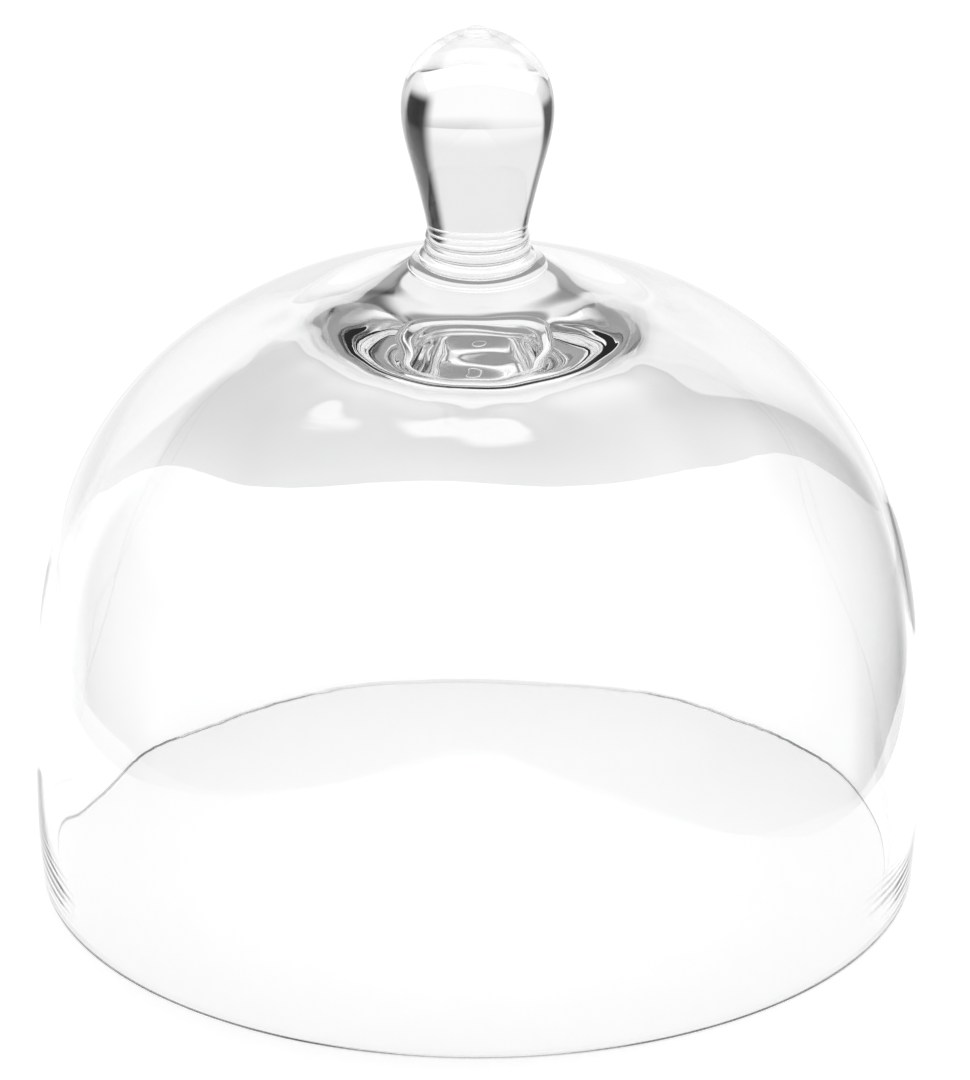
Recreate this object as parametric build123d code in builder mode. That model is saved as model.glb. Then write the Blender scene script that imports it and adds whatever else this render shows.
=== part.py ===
# Bell jar dome: a blown clear-glass display dome with a ringed neck and a solid knob.
# Millimetres, +Z up, origin on the axis of the bell at the plane the rim rests on.
# Seven pieces of the same clear glass, fused hot where their faces meet.
# Every outline below is half a section: (distance from the axis, height).

import os

from build123d import *

os.makedirs("parts", exist_ok=True)

# ---- bell -----------------------------------------------------------------
bell_radius = 125.0          # widest outside radius, a little above the rim
widest_height = 37.0         # height of that widest ring
wall = 4.2                   # side wall thickness
rim_radius = 123.5           # outside radius of the foot
rim_wall = 4.6               # the fire-polished rim is a touch thicker
rim_round = 1.5              # rounding on both corners of the rim
foot_inside = (120.35, 15.0) # inside of the wall just above the rim
hollow_top = 167.0           # height of the hollow on the axis

# the wall leans a few degrees at the foot, so each rim corner is not quite a quarter round
outer_round_angle = 85
inner_round_angle = 95

# shoulder and crown, outside and inside: the glass gathers thicker to the top, where the
# weight of the knob has pressed the underside of the crown nearly flat
shoulder_outside = [(124.5, 66.0), (120.3, 97.8), (111.1, 122.6), (94.4, 145.1), (74.3, 160.8)]
crown_outside = [(52.0, 171.1), (35.0, 177.0), (25.0, 182.1)]
crown_inside = [(20.0, 166.6), (36.0, 166.0), (49.0, 165.5), (54.0, 163.9), (62.0, 160.8)]
shoulder_inside = [(71.8, 156.2), (91.4, 142.0), (107.3, 120.5), (116.2, 96.9), (120.3, 65.7)]

# ---- neck -----------------------------------------------------------------
collar_height = 188.4        # where the shell ends and the neck rings start
fold_radius = 19.6           # crease under the rounded fold of the collar
fold_height = 186.1
ring_pitch = 2.75            # height of each trailed ring
post_radius = 11.5           # solid glass post inside the rings
crease_radii = [16.3, 14.7, 14.1, 13.9]    # creases from the collar up to the knob
ring_bulge = 0.55            # how far a ring stands out past its creases

# ---- knob -----------------------------------------------------------------
knob_base = collar_height + 3 * ring_pitch
knob_radius = 21.35          # widest radius of the grip
knob_widest_height = 234.8
land_radius = 3.75           # small land on top that carries the tip
land_height = 256.2
tip_height = 1.8

overall_height = land_height + tip_height

# ---- dome shell: side wall, shoulder, crown and collar ---------------------
with BuildPart() as dome_shell:
    with BuildSketch(Plane.XZ):
        with BuildLine():
            seat = Line((rim_radius - rim_wall + rim_round, 0), (rim_radius - rim_round, 0))
            outer_round = JernArc(seat @ 1, (1, 0), rim_round, outer_round_angle)
            # outside, from the rim up the wall and over the crown to the collar
            Spline(
                outer_round @ 1,
                (124.65, 15.0),
                (bell_radius, widest_height),
                *shoulder_outside,
                *crown_outside,
                (fold_radius, fold_height),
                tangents=[outer_round % 1, (-1, 0.85)],
            )
            # the collar folds over into the foot of the neck rings
            Spline(
                (fold_radius, fold_height),
                (18.5, 187.6),
                (crease_radii[0], collar_height),
                tangents=[(-0.2, 1), (-1, 0.2)],
            )
            Line((crease_radii[0], collar_height), (0, collar_height))
            Line((0, collar_height), (0, hollow_top))
            inner_round = JernArc(seat @ 0, (-1, 0), rim_round, -inner_round_angle)
            # hollow, from the axis under the crown back down to the rim
            Spline(
                (0, hollow_top),
                *crown_inside,
                *shoulder_inside,
                (bell_radius - wall, widest_height),
                foot_inside,
                inner_round @ 1,
                tangents=[(1, 0), -(inner_round % 1)],
            )
        make_face()
    revolve(axis=Axis.Z)
dome_shell.part.label = "dome_shell"
export_step(dome_shell.part, "parts/dome_shell.step")

# ---- neck post: the solid bit of glass that joins the knob to the bell -----
with BuildPart() as neck_post:
    with BuildSketch(Plane.XY.offset(collar_height)):
        Circle(post_radius)
    extrude(amount=3 * ring_pitch)
neck_post.part.label = "neck_post"
export_step(neck_post.part, "parts/neck_post.step")

# ---- three rounded rings trailed round the post, one above the other -------
ring_names = ["neck_ring_lower", "neck_ring_middle", "neck_ring_upper"]
for number, ring_name in enumerate(ring_names):
    low_height = collar_height + number * ring_pitch
    high_height = low_height + ring_pitch
    low_crease = crease_radii[number]
    high_crease = crease_radii[number + 1]
    bulge_radius = (low_crease + high_crease) / 2 + ring_bulge
    with BuildPart() as ring:
        with BuildSketch(Plane.XZ):
            with BuildLine():
                Polyline(
                    (high_crease, high_height),
                    (post_radius, high_height),
                    (post_radius, low_height),
                    (low_crease, low_height),
                )
                ThreePointArc(
                    (low_crease, low_height),
                    (bulge_radius, (low_height + high_height) / 2),
                    (high_crease, high_height),
                )
            make_face()
        revolve(axis=Axis.Z)
    ring.part.label = ring_name
    export_step(ring.part, f"parts/{ring_name}.step")

# ---- knob: a solid pear-shaped grip ----------------------------------------
with BuildPart() as knob:
    with BuildSketch(Plane.XZ):
        with BuildLine():
            Line((0, knob_base), (crease_radii[3], knob_base))
            Spline(
                (crease_radii[3], knob_base),
                (15.45, 205.2),
                (18.4, 217.3),
                (knob_radius, knob_widest_height),
                (18.7, 244.8),
                (11.3, 252.6),
                (land_radius, land_height),
                tangents=[(0.1, 1), (-1, 0.2)],
            )
            Line((land_radius, land_height), (0, land_height))
            Line((0, land_height), (0, knob_base))
        make_face()
    revolve(axis=Axis.Z)
knob.part.label = "knob"
export_step(knob.part, "parts/knob.step")

# ---- tip button: the small bead where the last thread of glass was cut off --
with BuildPart() as tip_button:
    with BuildSketch(Plane.XZ):
        with BuildLine():
            Line((0, land_height), (land_radius, land_height))
            Spline(
                (land_radius, land_height),
                (0.71 * land_radius, land_height + 0.71 * tip_height),
                (0, overall_height),
                tangents=[(0, 1), (-1, 0)],
            )
            Line((0, overall_height), (0, land_height))
        make_face()
    revolve(axis=Axis.Z)
tip_button.part.label = "tip_button"
export_step(tip_button.part, "parts/tip_button.step")
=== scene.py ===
import math

import bpy
import numpy as np
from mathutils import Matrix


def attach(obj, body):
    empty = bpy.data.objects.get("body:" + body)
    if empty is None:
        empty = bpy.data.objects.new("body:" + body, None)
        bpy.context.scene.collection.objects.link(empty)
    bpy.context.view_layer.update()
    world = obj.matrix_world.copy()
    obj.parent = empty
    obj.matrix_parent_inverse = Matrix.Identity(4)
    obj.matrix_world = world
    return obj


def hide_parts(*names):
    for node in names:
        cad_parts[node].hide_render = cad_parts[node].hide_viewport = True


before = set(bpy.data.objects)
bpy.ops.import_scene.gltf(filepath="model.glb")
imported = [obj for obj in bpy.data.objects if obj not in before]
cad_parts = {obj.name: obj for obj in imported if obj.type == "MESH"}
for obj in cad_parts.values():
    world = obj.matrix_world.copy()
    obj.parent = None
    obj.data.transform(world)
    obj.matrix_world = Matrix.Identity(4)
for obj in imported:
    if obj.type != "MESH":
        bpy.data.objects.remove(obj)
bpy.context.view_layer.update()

MM = 0.001

# ---- camera: a long lens, looking a little down on the dome -----------------
CAMERA_DISTANCE = 3.978
CAMERA_LENS = 471.05
CAMERA_PITCH = math.radians(24.881)
LOOK_AT = (0.0021, 0.0, 0.10148)
SENSOR_WIDTH = 36.0
NEAREST = 0.1
FARTHEST = 100.0


def add_camera():
    data = bpy.data.cameras.new("camera")
    data.lens = CAMERA_LENS
    data.sensor_width = SENSOR_WIDTH
    data.clip_start = NEAREST
    data.clip_end = FARTHEST
    camera = bpy.data.objects.new("camera", data)
    back = CAMERA_DISTANCE * math.cos(CAMERA_PITCH)
    rise = CAMERA_DISTANCE * math.sin(CAMERA_PITCH)
    camera.location = (LOOK_AT[0], LOOK_AT[1] - back, LOOK_AT[2] + rise)
    camera.rotation_euler = (math.pi / 2 - CAMERA_PITCH, 0.0, 0.0)
    bpy.context.scene.collection.objects.link(camera)
    bpy.context.scene.camera = camera


add_camera()

# ---- half outlines: (distance from the axis, height) in millimetres ----------
AROUND = 256                 # steps of every turned piece, so that neighbours share their edges
WALL_STEP = 1.6              # spacing of the points along the wall, in millimetres
GRIP_STEP = 0.8
FOLD_STEP = 0.4
TIP_STEP = 0.3
RING_STEP = 0.25
ROUND_STEPS = 8              # steps round each corner of the rim
SHARP_ANGLE = math.radians(30)
MERGE_DISTANCE = 1e-6

BELL_RADIUS = 125.0
WIDEST_HEIGHT = 37.0
WALL = 4.2
RIM_RADIUS = 123.5
RIM_WALL = 4.6
RIM_ROUND = 1.5
RIM_LEAN = 5                 # the wall leans this many degrees at the foot
FOOT_OUTSIDE = (124.65, 15.0)
FOOT_INSIDE = (120.35, 15.0)
HOLLOW_TOP = 167.0
SHOULDER_OUTSIDE = [(124.5, 66.0), (120.3, 97.8), (111.1, 122.6), (94.4, 145.1), (74.3, 160.8)]
CROWN_OUTSIDE = [(52.0, 171.1), (35.0, 177.0), (25.0, 182.1)]
CROWN_INSIDE = [(20.0, 166.6), (36.0, 166.0), (49.0, 165.5), (54.0, 163.9), (62.0, 160.8)]
SHOULDER_INSIDE = [(71.8, 156.2), (91.4, 142.0), (107.3, 120.5), (116.2, 96.9), (120.3, 65.7)]

COLLAR_HEIGHT = 188.4
FOLD_RADIUS = 19.6
FOLD_HEIGHT = 186.1
FOLD_TOP = (18.5, 187.6)
RING_PITCH = 2.75
POST_RADIUS = 11.5
CREASE_RADII = [16.3, 14.7, 14.1, 13.9]
RING_BULGE = 0.55

KNOB_BASE = COLLAR_HEIGHT + 3 * RING_PITCH
KNOB_RADIUS = 21.35
KNOB_WIDEST_HEIGHT = 234.8
GRIP_LOWER = [(15.45, 205.2), (18.4, 217.3)]
GRIP_UPPER = [(18.7, 244.8), (11.3, 252.6)]
LAND_RADIUS = 3.75
LAND_HEIGHT = 256.2
TIP_HEIGHT = 1.8
TIP_ROUND = 0.71              # how far out and up the round of the bead bulges


def smooth_line(points, start, end, step):
    """Points about step apart on one smooth curve through the given points.

    The curve leaves along start and arrives along end.
    """
    p = np.array(points, float)
    h = np.hypot(*np.diff(p, axis=0).T)
    n = len(p)
    a, b = np.zeros((n, n)), np.zeros((n, 2))
    a[0, 0] = a[-1, -1] = 1.0
    b[0] = np.array(start) / np.hypot(*start)
    b[-1] = np.array(end) / np.hypot(*end)
    for i in range(1, n - 1):
        a[i, i - 1], a[i, i], a[i, i + 1] = h[i], 2 * (h[i - 1] + h[i]), h[i - 1]
        b[i] = 3 * (h[i] * (p[i] - p[i - 1]) / h[i - 1] + h[i - 1] * (p[i + 1] - p[i]) / h[i])
    m = np.linalg.solve(a, b)
    out = []
    for i in range(n - 1):
        for t in np.arange(0, 1, 1 / max(1, round(h[i] / step))):
            out.append(
                (2 * t**3 - 3 * t**2 + 1) * p[i]
                + (t**3 - 2 * t**2 + t) * h[i] * m[i]
                + (3 * t**2 - 2 * t**3) * p[i + 1]
                + (t**3 - t**2) * h[i] * m[i + 1]
            )
    return [tuple(q) for q in out] + [tuple(p[-1])]


def round_corner(centre, radius, first, last, steps):
    """Points on an arc about centre, from angle first to angle last in degrees."""
    turns = np.radians(np.linspace(first, last, steps + 1))
    return [(centre[0] + radius * math.cos(t), centre[1] + radius * math.sin(t)) for t in turns]


def shell_outline():
    line = [(0, COLLAR_HEIGHT), (POST_RADIUS / 2, COLLAR_HEIGHT), (POST_RADIUS, COLLAR_HEIGHT)]
    fold = [(CREASE_RADII[0], COLLAR_HEIGHT), FOLD_TOP, (FOLD_RADIUS, FOLD_HEIGHT)]
    line += smooth_line(fold, (1, -0.2), (0.2, -1), FOLD_STEP)
    outer_centre = (RIM_RADIUS - RIM_ROUND, RIM_ROUND)
    outer = round_corner(outer_centre, RIM_ROUND, -RIM_LEAN, -90, ROUND_STEPS)
    outside = [(FOLD_RADIUS, FOLD_HEIGHT)] + CROWN_OUTSIDE[::-1] + SHOULDER_OUTSIDE[::-1]
    outside += [(BELL_RADIUS, WIDEST_HEIGHT), FOOT_OUTSIDE, outer[0]]
    lean = math.radians(RIM_LEAN)
    line += smooth_line(outside, (1, -0.85), (-math.sin(lean), -math.cos(lean)), WALL_STEP)[1:-1]
    line += outer
    inner_centre = (RIM_RADIUS - RIM_WALL + RIM_ROUND, RIM_ROUND)
    inner = round_corner(inner_centre, RIM_ROUND, 270, 180 - RIM_LEAN, ROUND_STEPS)
    line += inner
    inside = [inner[-1], FOOT_INSIDE, (BELL_RADIUS - WALL, WIDEST_HEIGHT)] + SHOULDER_INSIDE[::-1]
    inside += CROWN_INSIDE[::-1] + [(0, HOLLOW_TOP)]
    line += smooth_line(inside, (math.sin(lean), math.cos(lean)), (-1, 0), WALL_STEP)[1:]
    return line


def ring_outline(number):
    low = COLLAR_HEIGHT + number * RING_PITCH
    high = COLLAR_HEIGHT + (number + 1) * RING_PITCH
    low_crease, high_crease = CREASE_RADII[number], CREASE_RADII[number + 1]
    bulge = (low_crease + high_crease) / 2 + RING_BULGE
    line = [(low_crease, low), (bulge, (low + high) / 2), (high_crease, high)]
    line = smooth_line(line, (0.9, 1), (-0.9, 1), RING_STEP)
    return line + [(POST_RADIUS, high), (POST_RADIUS, low), (low_crease, low)]


def post_outline():
    return [(0, COLLAR_HEIGHT), (POST_RADIUS, COLLAR_HEIGHT), (POST_RADIUS, KNOB_BASE), (0, KNOB_BASE)]


def knob_outline():
    line = [(0, KNOB_BASE), (POST_RADIUS, KNOB_BASE)]
    grip = [(CREASE_RADII[3], KNOB_BASE)] + GRIP_LOWER + [(KNOB_RADIUS, KNOB_WIDEST_HEIGHT)]
    grip += GRIP_UPPER + [(LAND_RADIUS, LAND_HEIGHT)]
    return line + smooth_line(grip, (0.1, 1), (-1, 0.2), GRIP_STEP) + [(0, LAND_HEIGHT)]


def tip_outline():
    bead = [(LAND_RADIUS, LAND_HEIGHT)]
    bead += [(TIP_ROUND * LAND_RADIUS, LAND_HEIGHT + TIP_ROUND * TIP_HEIGHT)]
    bead += [(0, LAND_HEIGHT + TIP_HEIGHT)]
    return [(0, LAND_HEIGHT)] + smooth_line(bead, (0, 1), (-1, 0), TIP_STEP)


# ---- turning an outline into a piece ------------------------------------------
def turn(name, outline):
    """Draws the half outline point by point, spins it once round the axis, and closes it."""
    bpy.ops.object.select_all(action="DESELECT")
    first_r, first_z = outline[0]
    bpy.ops.mesh.primitive_plane_add(size=MM, location=(first_r * MM, 0, first_z * MM))
    piece = bpy.context.object
    piece.name = name
    bpy.ops.object.transform_apply(location=True, rotation=False, scale=False)
    bpy.ops.object.mode_set(mode="EDIT")
    bpy.ops.mesh.merge(type="CENTER")
    for (r0, z0), (r1, z1) in zip(outline, outline[1:]):
        step = ((r1 - r0) * MM, 0, (z1 - z0) * MM)
        bpy.ops.mesh.extrude_region_move(TRANSFORM_OT_translate={"value": step})
    bpy.ops.mesh.select_all(action="SELECT")
    bpy.ops.mesh.spin(steps=AROUND, angle=math.tau, center=(0, 0, 0), axis=(0, 0, 1))
    bpy.ops.mesh.select_all(action="SELECT")
    bpy.ops.mesh.remove_doubles(threshold=MERGE_DISTANCE)
    bpy.ops.mesh.normals_make_consistent(inside=False)
    bpy.ops.object.mode_set(mode="OBJECT")
    bpy.ops.object.shade_smooth_by_angle(angle=SHARP_ANGLE)
    return piece


# ---- the slight unevenness of glass blown and turned by hand ---------------------
def cloud_field(name, size, detail):
    """A fixed field of soft clouds of one size; detail 0 leaves out the finer ones."""
    field = bpy.data.textures.new(name, "CLOUDS")
    field.noise_scale = size
    field.noise_depth = detail
    field.noise_basis = "BLENDER_ORIGINAL"
    return field


def uneven(piece, field, strength, share):
    """Pushes the skin of a piece in and out by up to half of strength.

    share gives each point's part, from its distance to the axis and its height in millimetres.
    """
    bpy.ops.object.select_all(action="DESELECT")
    bpy.context.view_layer.objects.active = piece
    piece.select_set(True)
    free = piece.vertex_groups.new(name="free")
    for point in piece.data.vertices:
        part = share(math.hypot(point.co.x, point.co.y) / MM, point.co.z / MM)
        if part > 0:
            free.add([point.index], part, "REPLACE")
    bpy.ops.object.modifier_add(type="DISPLACE")
    push = piece.modifiers[-1]
    push.texture = field
    push.texture_coords = "LOCAL"
    push.direction = "NORMAL"
    push.mid_level = 0.5
    push.strength = strength
    push.vertex_group = "free"
    bpy.ops.object.modifier_apply(modifier=push.name)
    piece.vertex_groups.clear()


def ramp(value, start, end):
    """0 up to start, rising evenly to 1 at end."""
    return min(1.0, max(0.0, (value - start) / (end - start)))


def wall_share(r, z):
    """Full over the wall and the crown, and none at the rim and the collar."""
    return ramp(z, 2.0, 14.0) * ramp(-z, -184.0, -172.0)


def crown_share(r, z):
    """Full on the underside of the crown, where the glass set thick, and fading out down the shoulder."""
    return ramp(z, 150.0, 164.0) * ramp(-z, -170.0, -167.2) * ramp(-r, -70.0, -50.0)


def knob_share(r, z):
    """Full over the grip, and none at its foot and its tip."""
    return ramp(z, KNOB_BASE + 1, KNOB_BASE + 12) * ramp(-z, -255.0, -246.0)


WALL_FIELD = cloud_field("wall_waves", 0.045, 0)
CROWN_FIELD = cloud_field("crown_waves", 0.021, 1)
WALL_WAVE = 0.45 * MM
CROWN_WAVE = 0.5 * MM
GRIP_WAVE = 0.25 * MM

# ---- glass ------------------------------------------------------------------
GLASS_IOR = 1.51
WAVE_HEIGHT = 0.002
CORD_HEIGHT = 0.0004
CORD_SCALE = (9.0, 9.0, 160.0)
SMEAR_SCALE = 55.0
WAVE_DEPTH = 0.03
STRIAE_DEPTH = 0.02
SMEAR = 0.006


def add_node(tree, kind, **settings):
    made = tree.nodes.new(kind)
    for name, value in settings.items():
        setattr(made, name, value)
    return made


def blower_marks():
    """Drawn striae, faint tooling waves and a trace of handling, shared by every glass of the dome."""
    group = bpy.data.node_groups.new("blower_marks", "ShaderNodeTree")
    sockets = group.interface
    for name in ("Wave Size", "Wave Depth", "Striae Depth", "Smear"):
        sockets.new_socket(name, in_out="INPUT", socket_type="NodeSocketFloat")
    sockets.new_socket("Tint", in_out="INPUT", socket_type="NodeSocketColor")
    sockets.new_socket("Color", in_out="OUTPUT", socket_type="NodeSocketColor")
    sockets.new_socket("Roughness", in_out="OUTPUT", socket_type="NodeSocketFloat")
    sockets.new_socket("Normal", in_out="OUTPUT", socket_type="NodeSocketVector")
    given = add_node(group, "NodeGroupInput")
    put = add_node(group, "NodeGroupOutput")
    place = add_node(group, "ShaderNodeTexCoord").outputs["Object"]
    link = group.links.new

    # slow waves left by the blocking and the heat
    waves = add_node(group, "ShaderNodeTexNoise", noise_dimensions="3D")
    waves.inputs["Detail"].default_value = 1.0
    link(place, waves.inputs["Vector"])
    link(given.outputs["Wave Size"], waves.inputs["Scale"])
    # fine cords drawn out round the axis while the glass turned on the iron
    drawn = add_node(group, "ShaderNodeMapping")
    drawn.inputs["Scale"].default_value = CORD_SCALE
    link(place, drawn.inputs["Vector"])
    cords = add_node(group, "ShaderNodeTexNoise", noise_dimensions="3D")
    cords.inputs["Scale"].default_value = 1.0
    cords.inputs["Detail"].default_value = 2.0
    link(drawn.outputs["Vector"], cords.inputs["Vector"])

    wave_bump = add_node(group, "ShaderNodeBump")
    wave_bump.inputs["Distance"].default_value = WAVE_HEIGHT
    link(given.outputs["Wave Depth"], wave_bump.inputs["Strength"])
    link(waves.outputs["Fac"], wave_bump.inputs["Height"])
    cord_bump = add_node(group, "ShaderNodeBump")
    cord_bump.inputs["Distance"].default_value = CORD_HEIGHT
    link(given.outputs["Striae Depth"], cord_bump.inputs["Strength"])
    link(cords.outputs["Fac"], cord_bump.inputs["Height"])
    link(wave_bump.outputs["Normal"], cord_bump.inputs["Normal"])
    link(cord_bump.outputs["Normal"], put.inputs["Normal"])

    # a touch of iron shows where the melt is richer
    tint = add_node(group, "ShaderNodeMix", data_type="RGBA")
    tint.inputs["B"].default_value = (1.0, 1.0, 1.0, 1.0)
    link(cords.outputs["Fac"], tint.inputs["Factor"])
    link(given.outputs["Tint"], tint.inputs["A"])
    link(tint.outputs["Result"], put.inputs["Color"])

    # handling leaves a polish that is not quite even
    patches = add_node(group, "ShaderNodeTexNoise", noise_dimensions="3D")
    patches.inputs["Scale"].default_value = SMEAR_SCALE
    patches.inputs["Detail"].default_value = 4.0
    link(place, patches.inputs["Vector"])
    spread = add_node(group, "ShaderNodeMapRange")
    spread.inputs["From Min"].default_value = 0.45
    spread.inputs["From Max"].default_value = 0.75
    spread.inputs["To Min"].default_value = 0.0
    link(patches.outputs["Fac"], spread.inputs["Value"])
    link(given.outputs["Smear"], spread.inputs["To Max"])
    link(spread.outputs["Result"], put.inputs["Roughness"])
    return group


marks = blower_marks()


def clear_glass(name, tint, wave_size):
    material = bpy.data.materials.new(name)
    material.use_nodes = True
    tree = material.node_tree
    shader = tree.nodes["Principled BSDF"]
    shader.inputs["Transmission Weight"].default_value = 1.0
    shader.inputs["IOR"].default_value = GLASS_IOR
    surface = add_node(tree, "ShaderNodeGroup", node_tree=marks)
    surface.inputs["Wave Size"].default_value = wave_size
    surface.inputs["Wave Depth"].default_value = WAVE_DEPTH
    surface.inputs["Striae Depth"].default_value = STRIAE_DEPTH
    surface.inputs["Smear"].default_value = SMEAR
    surface.inputs["Tint"].default_value = (*tint, 1)
    tree.links.new(surface.outputs["Color"], shader.inputs["Base Color"])
    tree.links.new(surface.outputs["Roughness"], shader.inputs["Roughness"])
    tree.links.new(surface.outputs["Normal"], shader.inputs["Normal"])
    return material


def fused_seam():
    """Where two pieces of hot glass melted into one, nothing is left to see."""
    material = bpy.data.materials.new("fused_seam")
    material.use_nodes = True
    shader = material.node_tree.nodes["Principled BSDF"]
    shader.inputs["Alpha"].default_value = 0.0
    return material


blown = clear_glass("blown_glass", (0.985, 0.99, 0.99), wave_size=22)
solid = clear_glass("solid_glass", (0.98, 0.985, 0.985), wave_size=60)
seam = fused_seam()
SEAM_LEVEL = 0.02            # how near a face must be to count as the seam, in millimetres
SEAM_RADIUS = 0.05


def on_seam(centre, normal):
    """True for a face where this piece is fused to its neighbour."""
    r, z = math.hypot(centre.x, centre.y) / MM, centre.z / MM
    level = abs(normal.z) > 0.99
    for number, crease in enumerate(CREASE_RADII):
        seam_height = COLLAR_HEIGHT + number * RING_PITCH
        if level and abs(z - seam_height) < SEAM_LEVEL and r < crease:
            return True
    upright = abs(normal.z) < 0.01
    if upright and abs(r - POST_RADIUS) < SEAM_RADIUS and COLLAR_HEIGHT < z < KNOB_BASE:
        return True
    return level and abs(z - LAND_HEIGHT) < SEAM_LEVEL and r < LAND_RADIUS


def glaze(piece, node, glass):
    piece.data.materials.append(glass)
    piece.data.materials.append(seam)
    for face in piece.data.polygons:
        if on_seam(face.center, face.normal):
            face.material_index = 1
    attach(piece, "root")
    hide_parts(node)


bell = turn("bell", shell_outline())
uneven(bell, WALL_FIELD, WALL_WAVE, wall_share)
uneven(bell, CROWN_FIELD, CROWN_WAVE, crown_share)
glaze(bell, "dome_shell", blown)
glaze(turn("post", post_outline()), "neck_post", solid)
for number, node in enumerate(("neck_ring_lower", "neck_ring_middle", "neck_ring_upper")):
    glaze(turn("ring_%d" % (number + 1), ring_outline(number)), node, solid)
grip = turn("grip", knob_outline())
uneven(grip, WALL_FIELD, GRIP_WAVE, knob_share)
glaze(grip, "knob", solid)
glaze(turn("tip", tip_outline()), "tip_button", solid)

# ---- studio: a lit white table, a lit panel behind it and dark cards at the sides ----
TABLE_LEFT = -0.26
TABLE_RIGHT = 0.20
TABLE_FRONT = -2.0
TABLE_BACK = 0.30
TABLE_GLOW = 0.69
TABLE_WHITE = 0.9
PLAIN_WHITE = 1.05


def add_table():
    """The table runs well to the front, and ends a hand's breadth or two past the dome elsewhere."""
    bpy.ops.object.select_all(action="DESELECT")
    bpy.ops.mesh.primitive_plane_add(size=1.0, location=(0, 0, 0))
    table = bpy.context.object
    table.name = "table"
    table.scale = (TABLE_RIGHT - TABLE_LEFT, TABLE_BACK - TABLE_FRONT, 1)
    table.location = ((TABLE_LEFT + TABLE_RIGHT) / 2, (TABLE_BACK + TABLE_FRONT) / 2, 0)
    bpy.ops.object.transform_apply(location=True, rotation=False, scale=True)
    white = bpy.data.materials.new("white_table")
    white.use_nodes = True
    shader = white.node_tree.nodes["Principled BSDF"]
    shader.inputs["Base Color"].default_value = (TABLE_WHITE, TABLE_WHITE, TABLE_WHITE, 1)
    shader.inputs["Roughness"].default_value = 1.0
    shader.inputs["Specular IOR Level"].default_value = 0.0
    shader.inputs["Emission Color"].default_value = (1, 1, 1, 1)
    shader.inputs["Emission Strength"].default_value = TABLE_GLOW
    table.data.materials.append(white)


def feed(tree, socket, value):
    """Sets a plain number on the socket, or links what another node gives."""
    if isinstance(value, (int, float)):
        socket.default_value = value
    else:
        tree.links.new(value, socket)


def soft_edge(tree, value, edge, softness):
    """0 below the edge, 1 above it, with a soft change between."""
    change = add_node(tree, "ShaderNodeMapRange", interpolation_type="SMOOTHSTEP")
    change.inputs["From Min"].default_value = edge - softness
    change.inputs["From Max"].default_value = edge + softness
    tree.links.new(value, change.inputs["Value"])
    return change.outputs["Result"]


def fade(tree, value, start, end, first, last):
    """first up to the start, changing evenly to last at the end."""
    change = add_node(tree, "ShaderNodeMapRange", interpolation_type="LINEAR")
    names = ("Value", "From Min", "From Max", "To Min", "To Max")
    for name, given in zip(names, (value, start, end, first, last)):
        feed(tree, change.inputs[name], given)
    return change.outputs["Result"]


def calc(tree, kind, first, second):
    made = add_node(tree, "ShaderNodeMath", operation=kind)
    feed(tree, made.inputs[0], first)
    feed(tree, made.inputs[1], second)
    return made.outputs[0]


def blend(tree, low, high, mask):
    """low where the mask is 0, high where it is 1."""
    made = add_node(tree, "ShaderNodeMix", data_type="FLOAT")
    for number, value in ((0, mask), (2, low), (3, high)):
        feed(tree, made.inputs[number], value)
    return made.outputs[0]


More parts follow.
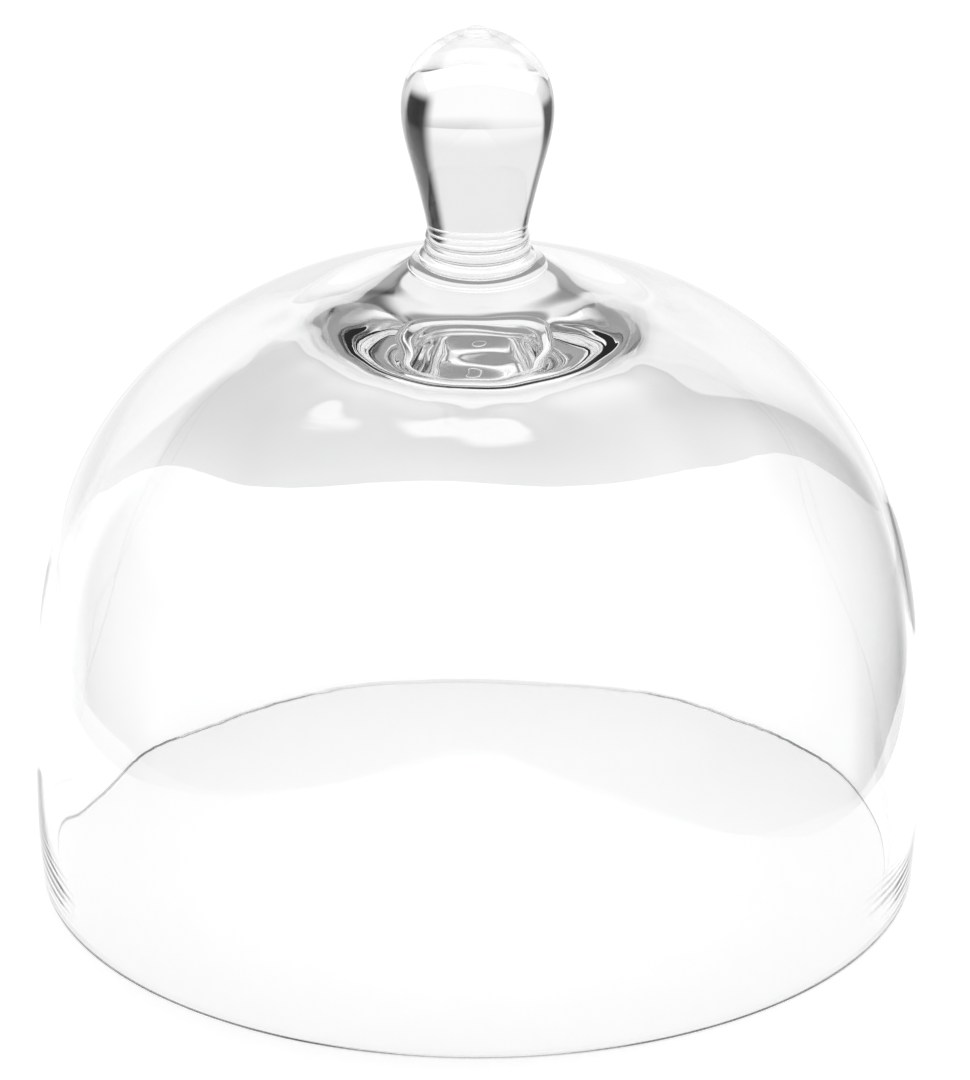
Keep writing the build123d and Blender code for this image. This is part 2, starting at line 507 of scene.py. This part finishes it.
def add_studio():
    """Every zone of light is a band of directions: x to the right, y to the back, z up."""
    world = bpy.data.worlds.new("studio")
    bpy.context.scene.world = world
    world.use_nodes = True
    tree = world.node_tree
    look = add_node(tree, "ShaderNodeTexCoord").outputs["Generated"]
    axes = add_node(tree, "ShaderNodeSeparateXYZ")
    tree.links.new(look, axes.inputs[0])
    x, y, z = axes.outputs

    def minus(value):
        return calc(tree, "MULTIPLY", value, -1.0)

    def both(first, second):
        return calc(tree, "MULTIPLY", first, second)

    def window(value, low, high, softness):
        return both(soft_edge(tree, value, low, softness), soft_edge(tree, minus(value), -high, softness))

    def slope(rise, run):
        """rise over run, where the run is ahead; elsewhere the mask it is used with is 0."""
        return calc(tree, "DIVIDE", rise, calc(tree, "MAXIMUM", run, 0.001))

    # the room: pale below, grey above, lighter to the left and the front
    side = blend(tree, 0.35, 0.5, soft_edge(tree, minus(x), 0.0, 0.3))
    below = fade(tree, z, -0.6, -0.3, 1.05, side)
    above = blend(tree, 0.3, 0.45, soft_edge(tree, minus(y), 0.45, 0.2))
    light = blend(tree, below, above, soft_edge(tree, z, -0.2, 0.03))

    # the ceiling, lit over the back of the table
    lit_side = calc(tree, "ADD", y, both(x, 0.3))
    ceiling = blend(tree, 0.3, 1.0, soft_edge(tree, lit_side, 0.0, 0.15))
    light = blend(tree, light, ceiling, soft_edge(tree, z, 0.74, 0.08))

    # a black card back right and a paler one back left draw the edges of the glass
    right_card = both(window(slope(y, x), 0.5, 1.9, 0.1), window(z, -0.5, 0.45, 0.05))
    light = blend(tree, light, 0.01, both(right_card, soft_edge(tree, x, 0.05, 0.02)))
    left_card = both(window(slope(y, minus(x)), 0.1, 0.8, 0.1), window(z, -0.4, 0.17, 0.05))
    light = blend(tree, light, 0.08, both(left_card, soft_edge(tree, minus(x), 0.05, 0.02)))

    # the lit panel behind, brighter to the top, and the shaded gap under its foot
    across = slope(x, y)
    up = slope(z, y)
    glow = blend(tree, 0.84, 0.92, soft_edge(tree, up, 0.15, 0.15))
    glow = blend(tree, 0.97, glow, soft_edge(tree, up, -0.26, 0.06))
    shade = blend(tree, 0.7, 0.88, soft_edge(tree, minus(across), 0.1, 0.15))
    gap = fade(tree, up, -0.46, -0.352, 1.03, shade)
    glow = blend(tree, gap, glow, soft_edge(tree, up, -0.35, 0.004))
    panel = both(window(across, -1.2, 0.62, 0.15), soft_edge(tree, minus(up), -0.5, 0.04))
    light = blend(tree, light, glow, both(panel, soft_edge(tree, y, 0.02, 0.01)))

    # toward the back, what the camera sees past the glass is plain white
    direct = add_node(tree, "ShaderNodeLightPath").outputs["Is Camera Ray"]
    light = blend(tree, light, PLAIN_WHITE, both(direct, soft_edge(tree, y, 0.3, 0.15)))
    background = tree.nodes["Background"]
    tree.links.new(light, background.inputs["Strength"])
    background.inputs["Color"].default_value = (1, 1, 1, 1)


add_table()
add_studio()

scene = bpy.context.scene
scene.view_settings.view_transform = "Standard"
scene.cycles.max_bounces = 32
scene.cycles.transmission_bounces = 32
scene.cycles.glossy_bounces = 16
scene.cycles.transparent_max_bounces = 48
